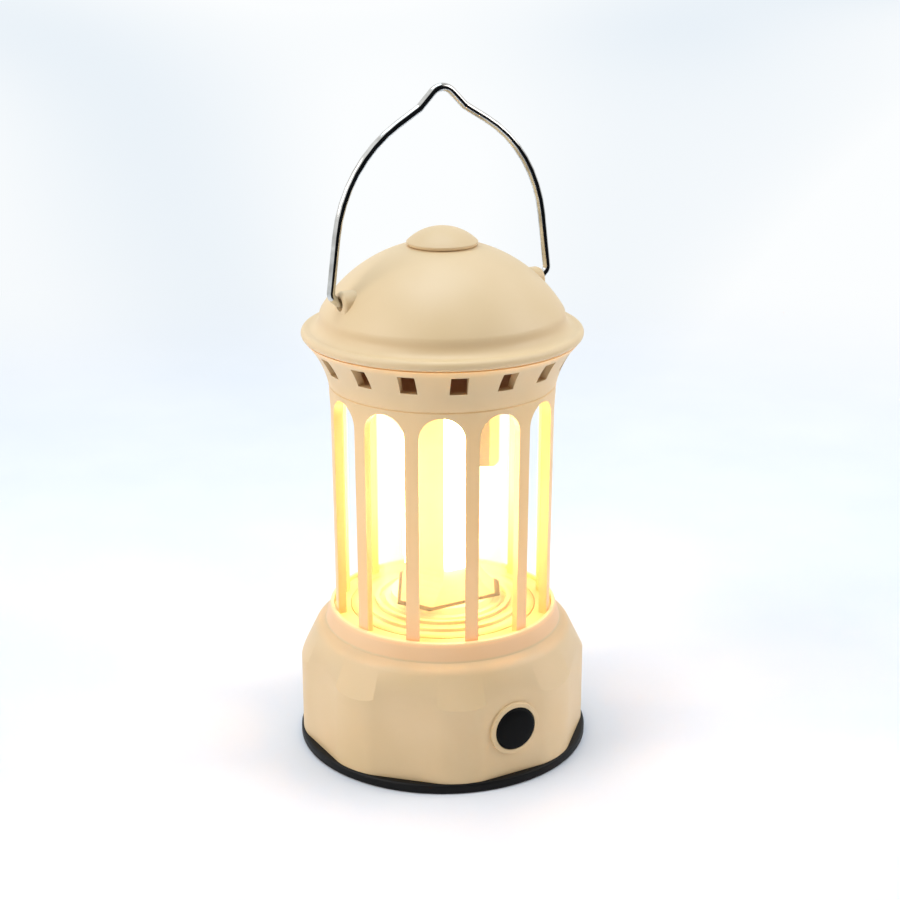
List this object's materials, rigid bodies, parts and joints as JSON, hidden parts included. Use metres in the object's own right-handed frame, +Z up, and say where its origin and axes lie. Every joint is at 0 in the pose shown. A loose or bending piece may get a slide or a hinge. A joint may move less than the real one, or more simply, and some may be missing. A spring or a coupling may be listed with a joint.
{
  "type": "lantern table lamp",
  "caption": "Battery table lamp shaped as a domed colonnade lantern, with a clear chimney round the light, an octagonal base with a push button, and a folding wire handle.",
  "frame": {"origin": "centre of the foot on the table", "axes": "+Z up, the push button faces -Y, the handle's hinge axis runs along X"},
  "size_m": [0.082, 0.082, 0.185],
  "materials": {
    "beige_plastic": "satin",
    "black_plastic": "satin",
    "white_plastic": "satin",
    "clear_plastic": "polished",
    "light_strip": "matte, lit from within",
    "button_rubber": "matte",
    "switch_plastic": "matte",
    "board_laminate": "solder mask",
    "cell_jacket": "printed film",
    "plated_steel": "zinc plated",
    "handle_wire": "nickel plated",
    "red_insulation": "vinyl",
    "black_insulation": "vinyl"
  },
  "bodies": {
    "lamp": {"bottom_cap": "black_plastic", "battery_tray": "white_plastic", "battery_cell_1": "cell_jacket", "battery_cell_2": "cell_jacket", "battery_cell_3": "cell_jacket", "contact_plates": "plated_steel", "contact_springs": "plated_steel", "base_shell": "beige_plastic", "cap_screws": "plated_steel", "switch_body": "switch_plastic", "driver_board": "board_laminate", "board_parts": "switch_plastic", "board_screws": "plated_steel", "battery_lead_red": "red_insulation", "battery_lead_black": "black_insulation", "led_lead_red": "red_insulation", "led_lead_black": "black_insulation", "reflector_deck": "white_plastic", "light_pillar": "white_plastic", "pillar_screws": "plated_steel", "cob_front": "light_strip", "cob_left": "light_strip", "cob_right": "light_strip", "lamp_chimney": "clear_plastic", "cage_ring": "beige_plastic", "columns": "beige_plastic", "cornice": "beige_plastic", "cage_screws": "plated_steel", "top_holder": "beige_plastic", "roof_screws": "plated_steel", "roof": "beige_plastic", "finial": "beige_plastic"},
    "door": {"battery_door": "black_plastic"},
    "button": {"switch_button": "button_rubber", "switch_plunger": "white_plastic"},
    "handle": {"handle_bail": "handle_wire"}
  },
  "joints": [
    {"name": "handle_swing", "type": "hinge", "parent": "lamp", "child": "handle", "pos_m": [0, 0, 0.1299], "axis": [1, 0, 0], "range_deg": [-104, 104]},
    {"name": "button_press", "type": "slide", "parent": "lamp", "child": "button", "axis": [0, 1, 0], "range_m": [0, 0.0009], "stiffness_N_per_m": 1500, "springref_m": -0.0007},
    {"name": "door_hinge", "type": "hinge", "parent": "lamp", "child": "door", "pos_m": [0, 0.0216, 0.0018], "axis": [1, 0, 0], "range_deg": [0, 100]}
  ]
}
